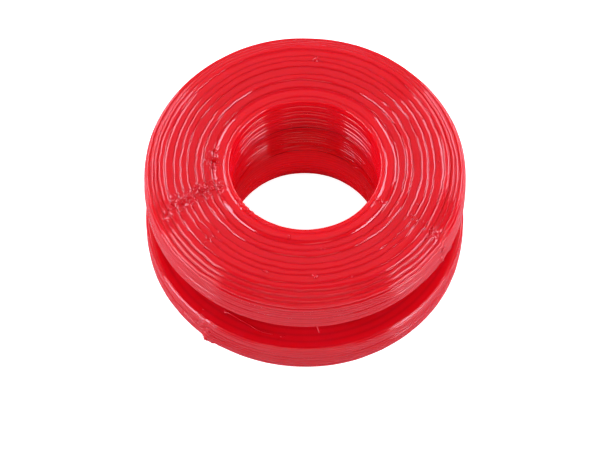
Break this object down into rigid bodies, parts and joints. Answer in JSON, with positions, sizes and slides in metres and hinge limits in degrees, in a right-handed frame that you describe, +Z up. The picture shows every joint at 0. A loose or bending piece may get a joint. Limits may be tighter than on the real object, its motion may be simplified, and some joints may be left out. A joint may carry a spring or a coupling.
{
  "type": "thread spool",
  "caption": "Empty round spool: domed flanges on a short barrel, a deep thread groove between them and an open bore for a spindle.",
  "frame": {"origin": "middle of the base that the spool stands on", "axes": "+Z up along the bore's axis, towards the flange with the raised lip"},
  "size_m": [0.0205, 0.0204, 0.0093],
  "materials": {
    "red_plastic": "glossy, with fine printed layer lines"
  },
  "bodies": {
    "root": {"lower_flange": "red_plastic", "barrel": "red_plastic", "upper_flange": "red_plastic"}
  },
  "joints": []
}
